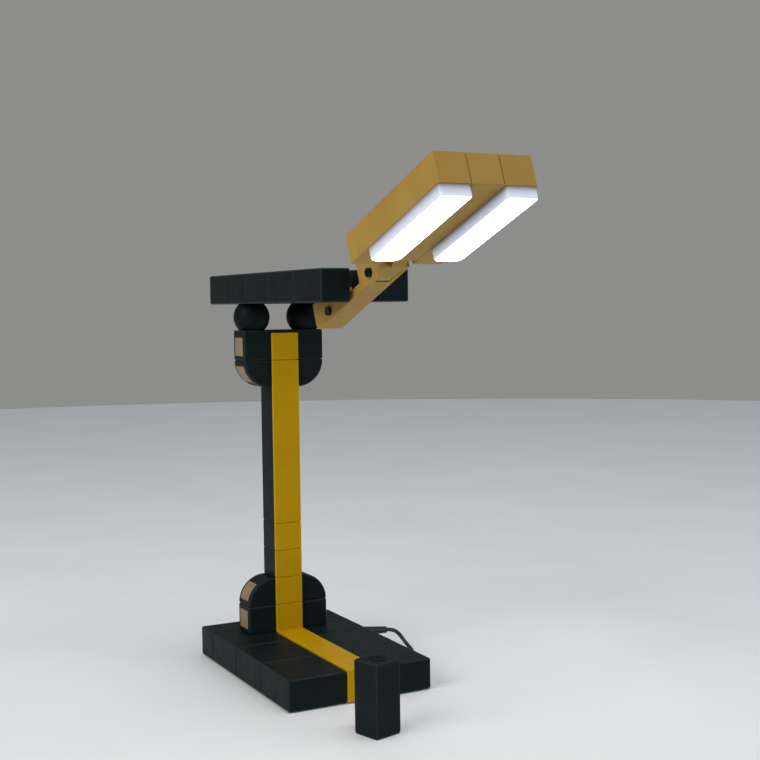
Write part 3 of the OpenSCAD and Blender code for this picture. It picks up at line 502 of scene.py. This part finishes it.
# %% [markdown]
# ## The shoulders
# At the foot and at the head of the column a cube and a quarter-round block stand on each side. The
# quarter round starts as one vertex that is spun through a right angle, closed to a flat face with the
# three corners, and pulled to its depth. Then its outline is rounded over as on the other blocks. Each
# block carries a thin cream panel on its outer face; the curved ones are a small rectangle spun about
# the same axis.

# %% Cubes and quarter rounds
round_r, corner = 30.4 * mm, math.radians(30)
panel_w, panel_h, panel_from, panel_to = 22 * mm, 20 * mm, math.radians(12), math.radians(52)
panel_in, panel_out, panel_round = 0.6 * mm, 0.2 * mm, 0.15 * mm
panels = new_shape()


def quarter_round(shape, centre, hand, flip, low, high):
    """Adds a block whose outer edge is a quarter circle about a point, between two corners."""
    out_x, in_x = (high.x, low.x) if hand > 0 else (low.x, high.x)
    flat_z, crown_z = (low.z, high.z) if flip > 0 else (high.z, low.z)
    start = shape.verts.new((out_x, low.y, centre.z))
    bmesh.ops.spin(shape, geom=[start], cent=centre, axis=(0, -hand * flip, 0), angle=math.pi / 2, steps=16,
                   dvec=(0, 0, 0))
    arc = list(shape.verts)
    corners = [shape.verts.new((x, low.y, z)) for x, z in ((in_x, crown_z), (in_x, flat_z), (out_x, flat_z))]
    bmesh.ops.remove_doubles(shape, verts=shape.verts, dist=0.05 * mm)
    face = shape.faces.new([v for v in arc + corners if v.is_valid])
    grown = bmesh.ops.extrude_face_region(shape, geom=[face])["geom"]
    bmesh.ops.translate(shape, vec=(0, high.y - low.y, 0),
                        verts=[g for g in grown if isinstance(g, bmesh.types.BMVert)])
    round_edges(shape, [e for e in shape.edges if e.calc_face_angle(0) > corner], block_round)


def curved_panel(shape, centre, hand, flip):
    """Adds a thin panel spun about the axis of a quarter round."""
    section = new_shape()
    rows = [(round_r - panel_in, -1), (round_r + panel_out, -1), (round_r + panel_out, 1),
            (round_r - panel_in, 1)]
    face = section.faces.new([section.verts.new((r * hand, y * panel_w / 2, 0)) for r, y in rows])
    bmesh.ops.spin(section, geom=[face] + list(face.edges) + list(face.verts), cent=(0, 0, 0),
                   axis=(0, -hand * flip, 0), angle=panel_to - panel_from, steps=12, dvec=(0, 0, 0))
    place = Matrix.Translation(centre) @ Matrix.Rotation(-hand * flip * panel_from, 4, "Y")
    bmesh.ops.transform(section, matrix=place, verts=section.verts)
    take_in(shape, section)


for height, flip in (("lower", 1), ("upper", -1)):
    for side, hand in (("left", -1), ("right", 1)):
        low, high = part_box(f"{height}_cube_{side}")
        shape = new_shape()
        rounded_block(shape, low, high, block_round)
        add_piece(f"{height}_shoulder_{side}", shape, black_abs, "lamp", "black_block",
                  f"{height}_cube_{side}")
        face_x = high.x if hand > 0 else low.x
        middle = Vector((face_x, (low.y + high.y) / 2, low.z + round_r / 2))
        edges = sorted((face_x - hand * panel_in, face_x + hand * panel_out))
        rounded_block(panels, (edges[0], middle.y - panel_w / 2, middle.z - panel_h / 2),
                      (edges[1], middle.y + panel_w / 2, middle.z + panel_h / 2), panel_round)

        low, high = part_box(f"{height}_round_{side}")
        face_x = high.x if hand > 0 else low.x
        crown_z = high.z if flip > 0 else low.z
        axis = Vector((face_x - hand * round_r, low.y, crown_z - flip * round_r))
        shape = new_shape()
        quarter_round(shape, axis, hand, flip, low, high)
        add_piece(f"{height}_crown_{side}", shape, black_abs, "lamp", "black_block",
                  f"{height}_round_{side}")
        curved_panel(panels, Vector((axis.x, middle.y, axis.z)), hand, flip)
add_piece("cream_panels", panels, cream_abs, "lamp", "cream_inlay", "inlay_panels")
print("8 shoulder blocks with 8 panels")

# %% [markdown]
# ## The balls
# Two black balls carry the top plate. Each is a sphere cut flat above and below, where it sits on the
# shoulder and under the plate. Bisecting a UV sphere and filling the cut keeps the round part exact, and
# the two rims are rounded a little, as a turned edge would be.

# %% Balls
rim_round = 0.45 * mm
for side in ("left", "right"):
    low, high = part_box(f"ball_{side}")
    middle = (low + high) / 2
    shape = new_shape()
    bmesh.ops.create_uvsphere(shape, u_segments=64, v_segments=40, radius=(high.x - low.x) / 2,
                              matrix=Matrix.Translation(middle))
    for z, way in ((low.z, -1), (high.z, 1)):
        cut = bmesh.ops.bisect_plane(shape, geom=shape.verts[:] + shape.edges[:] + shape.faces[:],
                                     dist=0.001 * mm, plane_co=(0, 0, z), plane_no=(0, 0, way),
                                     clear_outer=True)["geom_cut"]
        rim = [g for g in cut if isinstance(g, bmesh.types.BMEdge)]
        bmesh.ops.holes_fill(shape, edges=rim, sides=0)
        round_edges(shape, rim, rim_round)
    add_piece(f"black_ball_{side}", shape, black_abs, "lamp", "black_block", f"ball_{side}")
print("2 balls")

# %% [markdown]
# ## The top plate
# Three rows of blocks make the plate. The middle row starts further back, which leaves the slot that the
# arm swings in. Sunk screws hold the rows together: their seats are drums that are carved out of the
# rounded blocks, so the screw heads lie in real holes.

# %% Rows of the plate
seam, plate_block = 0.4 * mm, 64 * mm
plate_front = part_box("plate_left_row")[0].y
bolts_low, bolts_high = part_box("ball_bolts")
ties_low, ties_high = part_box("plate_ties")
bolt_r, bolt_h, bolt_slip = 5 * mm, 6 * mm, 0.1 * mm
tie_r, tie_h, tie_slip = 5 * mm, 4 * mm, 0.3 * mm
tie_rows, tie_z = (ties_low.y + tie_r, ties_high.y - tie_r), (ties_low.z + ties_high.z) / 2


def screw_seats():
    """Holes for the two bolt heads on top and the two tie heads at the right."""
    seats = bmesh.new()
    for x in (bolts_low.x + bolt_r, bolts_high.x - bolt_r):
        drum(seats, (x, (bolts_low.y + bolts_high.y) / 2, bolts_high.z - bolt_h), (0, 0, 1),
             bolt_r + bolt_slip, 3 * bolt_h)
    for y in tie_rows:
        drum(seats, (ties_high.x - tie_h, y, tie_z), (1, 0, 0), tie_r + tie_slip, 3 * tie_h)
    return seats


for row in ("left", "centre", "right"):
    low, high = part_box(f"plate_{row}_row")
    shape = new_shape()
    count = 0
    for i in range(math.ceil((high.y - plate_front) / plate_block)):
        start = max(plate_front + i * plate_block + seam / 2 * (i > 0), low.y)
        stop = min(plate_front + (i + 1) * plate_block - seam / 2, high.y)
        if stop > low.y:
            rounded_block(shape, (low.x, start, low.z), (high.x, stop, high.z), block_round)
            count += 1
    add_piece(f"{row}_row", carve(shape, screw_seats()), black_abs, "lamp", "black_block", f"plate_{row}_row")
    print(row, "row of", count, "blocks")

# %% [markdown]
# ## The screws
# Long cap screws clamp the rows of the plate and the bars of the head, and two short ones hold the
# hanger. Each is turned from one profile, with an eased rim on its head, and a drum of six sides is
# carved out of the head as the socket for the key.

# %% Cap screws
def cap_screw(shape, tip, along, length, shank_r, head_r, head_h):
    """Adds a screw, in millimetres from a tip to the top of its head."""
    screw, socket = new_shape(), bmesh.new()
    seat = length - head_h
    lathe(screw, [(0, 0), (shank_r - 0.5, 0), (shank_r, 0.8), (shank_r, seat), (head_r - 0.2, seat),
                  (head_r, seat + 0.2), (head_r, length - 0.4), (head_r - 0.4, length), (0, length)],
          aimed(tip, along))
    drum(socket, tip + Vector(along) * (length - 0.6 * head_h) * mm, along, 0.55 * head_r * mm, head_h * mm,
         sides=6)
    take_in(shape, carve(screw, socket))


head_slope, head_rows, head_row_z = math.radians(-20.5), (-69 * mm, -169 * mm), 19.5 * mm
foot_head_r = 4 * mm
in_head = Matrix.Translation(joints["head_tilt"]["pos_m"]) @ Matrix.Rotation(head_slope, 4, "X")
head_low, head_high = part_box("head_ties")
foot_low, foot_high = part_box("hanger_screws")
plate_tips = [Vector((ties_low.x, y, tie_z)) for y in tie_rows]
head_tips = [Vector((head_low.x, *(in_head @ Vector((0, y, head_row_z))).yz)) for y in head_rows]
hanger_tips = [Vector((0, foot_high.y, z)) for z in (foot_low.z + foot_head_r, foot_high.z - foot_head_r)]
for name, node, body, tips, along, length, sizes in (
        ("plate_screws", "plate_ties", "lamp", plate_tips, (1, 0, 0), ties_high.x - ties_low.x, (2.5, 5, 4)),
        ("head_screws", "head_ties", "head", head_tips, (1, 0, 0), head_high.x - head_low.x, (2, 3.5, 3)),
        ("foot_screws", "hanger_screws", "lamp", hanger_tips, (0, -1, 0), foot_high.y - foot_low.y,
         (2, 4, 3))):
    shape = new_shape()
    for tip in tips:
        cap_screw(shape, tip, along, length / mm, *sizes)
    add_piece(name, shape, zinc_steel, body, "steel", node)
    print(name, round(length / mm, 1), "mm long")

# %% [markdown]
# ## The light panels
# Under each side bar of the head hangs a shallow opal cap with rounded corners. A box in the head's own
# frame gets large radii at its rear corners, small ones in front and a soft lower rim, and is then turned
# to the head's slope. The floor's vertices are marked with glow, and the foot of the walls a little.

# %% Opal caps
cap_inner, cap_outer, cap_tip, cap_rear = 16.6 * mm, 47.6 * mm, -198.6 * mm, -62.8 * mm
cap_floor, cap_top = -15 * mm, -4.55 * mm
tip_round, rear_round, sole_round, foot_glow = 3.5 * mm, 8 * mm, 1.4 * mm, 0.045
for side, hand in (("left", -1), ("right", 1)):
    shape = new_shape("glow")
    x_from, x_to = sorted((hand * cap_inner, hand * cap_outer))
    low, high = Vector((x_from, cap_tip, cap_floor)), Vector((x_to, cap_rear, cap_top))
    plain_box(shape, low, high)
    for y, radius in ((low.y, tip_round), (high.y, rear_round)):
        posts = [e for e in shape.edges
                 if all(abs(v.co.y - y) < 0.01 * mm for v in e.verts) and e.verts[0].co.x == e.verts[1].co.x]
        round_edges(shape, posts, radius, 8)
    sole = min(shape.faces, key=lambda face: face.calc_center_median().z)
    round_edges(shape, sole.edges, sole_round, 4)
    sole = max((f for f in shape.faces if f.normal.z < -0.99), key=lambda face: face.calc_area())
    lit, under = shape.verts.layers.float["glow"], set(sole.verts)
    # Glow 0 at the top of the walls also gives them the darker colour of painted shade.
    for vert in shape.verts:
        vert[lit] = 1.0 if vert in under else foot_glow if vert.co.z < high.z - mm else 0.0
    bmesh.ops.transform(shape, matrix=in_head, verts=shape.verts)
    add_piece(f"opal_cap_{side}", shape, opal_acrylic, "head", "light_panel", f"{side}_diffuser")
print("2 opal caps")

# %% [markdown]
# ## The switch block
# A loose block with a button on top switches the light without a wire. Its shell is a rounded block that
# is hollowed for the board and the cell, and drilled for the button. The button is turned from a profile
# with a dished top, which a finger finds without looking.

# %% Switch shell and button
switch_turn, half, inner = math.radians(16), 15.5, 13
foot_z, ceiling_z, top_z, button_hole_r = 1, 66, 70, 7.3
drill_from, drill_l = 60, 20
in_switch = Matrix.Translation(joints["switch_lift"]["pos_m"]) @ Matrix.Rotation(switch_turn, 4, "Z")
shape = new_shape()
rounded_block(shape, Vector((-half, -half, foot_z)) * mm, Vector((half, half, top_z)) * mm, block_round,
              in_switch)
hollow = bmesh.new()
plain_box(hollow, Vector((-inner, -inner, 0)) * mm, Vector((inner, inner, ceiling_z)) * mm, in_switch)
drill = bmesh.new()
drum(drill, in_switch @ Vector((0, 0, drill_from * mm)), (0, 0, 1), button_hole_r * mm, drill_l * mm)
add_piece("switch_block", carve(carve(shape, hollow), drill), black_abs, "switch", "black_block",
          "switch_shell")

shape = new_shape()
lathe(shape, [(0, 60.4), (2.5, 60.4), (2.5, 64.4), (8.5, 64.4), (8.5, 65.9), (7, 65.9), (7, 69.9),
              (6.8, 70.3), (6.3, 70.6), (4.5, 70.25), (2.2, 70.05), (0, 70)], in_switch)
add_piece("dished_button", shape, black_abs, "button", "button_plastic", "switch_button")
print("switch block and button")

# %% [markdown]
# ## Sleeve, plug and strap
# A tapered rubber sleeve with grooves keeps the cord from kinking where it leaves the base: it is turned
# from one profile, whose steps make the grooves. The far end is a plain charging plug with a moulded grip
# and a plated tongue, and a woven strap holds the coil together.

# %% Grooved sleeve
flange_root, sleeve_root = Vector((80, 39, 24.5)), Vector((82.5, 39, 24.5))
sleeve_l = (cord_exit - sleeve_root).length
root_r, taper, grooves, groove_from, groove_pitch = 5.0, 1.2, 7, 3, 3.8
profile = [(0, -1.5), (4.8, -1.5), (root_r, 0), (root_r, groove_from)]
for i in range(grooves):
    along = groove_from + groove_pitch * i
    radius = root_r - taper * along / sleeve_l
    profile += [(radius, along), (radius - 0.05, along + 2.2), (radius - 0.6, along + 2.6),
                (radius - 0.65, along + 3.3)]
profile += [(3.9, sleeve_l - 1.6), (3.8, sleeve_l - 0.5), (3.4, sleeve_l), (0, sleeve_l)]
shape = new_shape()
lathe(shape, profile, aimed(sleeve_root * mm, cord_exit - sleeve_root))
lathe(shape, [(0, 0), (6, 0), (6, 1.7), (5.6, 2.3), (4.9, 2.5), (0, 2.5)],
      aimed(flange_root * mm, (1, 0, 0)))
sleeve = add_piece("lead_sleeve", shape, lead_pvc, "lamp", "cord_rubber", "cable_gland")
print("sleeve", round(sleeve_l, 1), "mm long")

# %% Charging plug
low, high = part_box("usb_plug")
middle = (low + high) / 2
grip_l, grip_round, rib_from, rib_pitch, rib_half, rib_deep = 28, 1.8, (8, 6.8), 3.2, 5, 0.6
shell_from = high.x - grip_l * mm
shape = new_shape()
rounded_block(shape, (shell_from, low.y, low.z), high, grip_round * mm)
grip = bmesh.new()
for i in range(4):
    back, front = (high.x - (start + rib_pitch * i) * mm for start in rib_from)
    plain_box(grip, (back, middle.y - rib_half * mm, high.z - rib_deep * mm),
              (front, middle.y + rib_half * mm, high.z + mm))
shape = carve(shape, grip)
lathe(shape, [(0, -2), (3.6, -2), (3.6, 0), (3.5, 2.4), (3.0, 2.8), (3.0, 3.6), (3.4, 4), (3.2, 6.4),
              (2.75, 6.8), (2.75, 7.6), (3.1, 8), (2.7, 11), (0, 11.2)],
      aimed(route[-1] * mm, (11, 0.3, 0.5)))
plug_body = add_piece("plug_grip", shape, lead_pvc, "lamp", "plug_plastic", "usb_plug")

shell_half = Vector((0, 6, 2.25)) * mm
mouth_half, mouth_low, mouth_high = 5.6 * mm, 0.4 * mm, 1.85 * mm
window, window_rows, window_columns = 2.2, (5, 10), (-2.6, 2.6)
shape = new_shape()
rounded_block(shape, (low.x, middle.y - shell_half.y, middle.z - shell_half.z),
              (shell_from + mm, middle.y + shell_half.y, middle.z + shell_half.z), 0.5 * mm)
mouth = bmesh.new()
plain_box(mouth, (low.x - mm, middle.y - mouth_half, middle.z - mouth_low),
          (shell_from - mm, middle.y + mouth_half, middle.z + mouth_high))
for x in window_rows:
    for y in window_columns:
        plain_box(mouth, (low.x + x * mm, middle.y + (y - window / 2) * mm, middle.z + mm),
                  (low.x + (x + window) * mm, middle.y + (y + window / 2) * mm, middle.z + 4 * mm))
plug_shell = add_piece("plug_shell", carve(shape, mouth), nickel_steel, "lamp", "steel", "usb_plug")
print("plug", round((high.x - low.x) / mm), "mm long")

# %% Strap round the coil
strap_turn = math.radians(225)
strap_place = Matrix.Translation(coil_middle * mm) @ Matrix.Rotation(strap_turn, 4, "Z")
shape, hollow = new_shape(), new_shape()
for part, low, high, radius in ((shape, (11.9, -5, 0.02), (36.9, 5, 9.95), 3.2),
                                (hollow, (12.4, -6, 0.5), (36.4, 6, 9.45), 2.7)):
    plain_box(part, Vector(low) * mm, Vector(high) * mm)
    round_edges(part, [e for e in part.edges if abs(e.verts[0].co.y - e.verts[1].co.y) > mm], radius * mm, 6)
shape = carve(shape, hollow)
bmesh.ops.transform(shape, matrix=strap_place, verts=shape.verts)
strap = add_piece("coil_strap", shape, strap_weave, "lamp", "cord_rubber")
print("strap round the coil")

# %% [markdown]
# ## The light
# An overcast room is plain light for plastic: a grey world from everywhere, a wide soft box from the
# upper left and a weaker one from the right. The background seen by the camera, and by anything that
# reflects, is a pale grey, so that the white panels stand out from it.

# %% World, lamps and table
world = bpy.data.worlds.new("grey_room")
scene.world = world
world.use_nodes = True
tree = world.node_tree
tree.nodes.clear()
ray = add(tree, "ShaderNodeLightPath", {})
seen = add(tree, "ShaderNodeMath", {0: ray.outputs["Is Camera Ray"], 1: ray.outputs["Is Glossy Ray"]},
           operation="MAXIMUM")
shown = add(tree, "ShaderNodeMath", {0: seen.outputs[0], 1: ray.outputs["Is Transmission Ray"]},
            operation="MAXIMUM")
room = add(tree, "ShaderNodeBackground", {"Color": linear("#e2e5ea"), "Strength": 0.6})
wall = add(tree, "ShaderNodeBackground", {"Color": linear("#8d8e8c"), "Strength": 1.0})
either = add(tree, "ShaderNodeMixShader", {0: shown.outputs[0], 1: room.outputs[0], 2: wall.outputs[0]})
add(tree, "ShaderNodeOutputWorld", {"Surface": either.outputs[0]})


def soft_box(name, place, aim, width, height, watts, tint):
    """A rectangular area lamp at a place, turned towards a point, in metres."""
    lamp = bpy.data.lights.new(name, "AREA")
    lamp.shape, lamp.size, lamp.size_y = "RECTANGLE", width, height
    lamp.energy, lamp.color = watts, linear(tint)[:3]
    box = bpy.data.objects.new(name, lamp)
    box.matrix_world = Matrix.Translation(place) @ (Vector(aim) - Vector(place)).to_track_quat(
        "-Z", "Y").to_matrix().to_4x4()
    scene.collection.objects.link(box)


soft_box("left_box", (-2.2, -0.7, 1.5), (0, 0, 0.25), 1.6, 1.6, 34, "#fffaf2")
soft_box("top_box", (0.2, -0.4, 2.4), (0, 0, 0.2), 1.6, 1.6, 18, "#ffffff")
soft_box("right_box", (2.0, -1.6, 0.9), (0, 0, 0.25), 1.2, 1.6, 10, "#eef3ff")

table_finish, tree, shader, place = new_finish("white_laminate")
smears = add(tree, "ShaderNodeTexNoise", {"Vector": place, "Scale": per_mm(220), "Detail": 3.0})
tree.links.new(two_tones(tree, smears.outputs["Fac"], 0.3, "#dfe1e3", 0.7, "#e5e7e9"),
               shader.inputs["Base Color"])
shader.inputs["Roughness"].default_value = 0.5
table, table_r = bmesh.new(), 4.0
bmesh.ops.create_circle(table, cap_ends=True, segments=96, radius=table_r)
mesh = bpy.data.meshes.new("table_top")
table.to_mesh(mesh)
table.free()
mesh.materials.append(table_finish)
table_top = bpy.data.objects.new("table_top", mesh)
scene.collection.objects.link(table_top)
scene.view_settings.view_transform = "Standard"
print("3 soft boxes over a pale table")

# %% [markdown]
# ## The cord and the finishes
# The cord gets its finish and rides on the lamp, the measured cord and coil are hidden, and each measured
# part gets the finish of its material slot.

# %% Finish
cord_line.materials.append(lead_pvc)
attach(cord, "lamp")
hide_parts("supply_cord", "cord_coil")

finishes = {
    "black_block": black_abs, "yellow_tile": yellow_abs, "yellow_block": ochre_abs, "cream_inlay": cream_abs,
    "steel": zinc_steel, "dark_metal": black_steel, "rubber": pad_rubber, "cord_rubber": lead_pvc,
    "plug_plastic": lead_pvc, "circuit_board": solder_mask, "led_aluminium": white_lacquer,
    "light_panel": opal_acrylic, "button_plastic": black_abs,
}
for part in frame["record"]["subparts"]:
    skin = nodes[part["node"]].data.materials
    skin.clear()
    skin.append(finishes[part["material_slot"]])
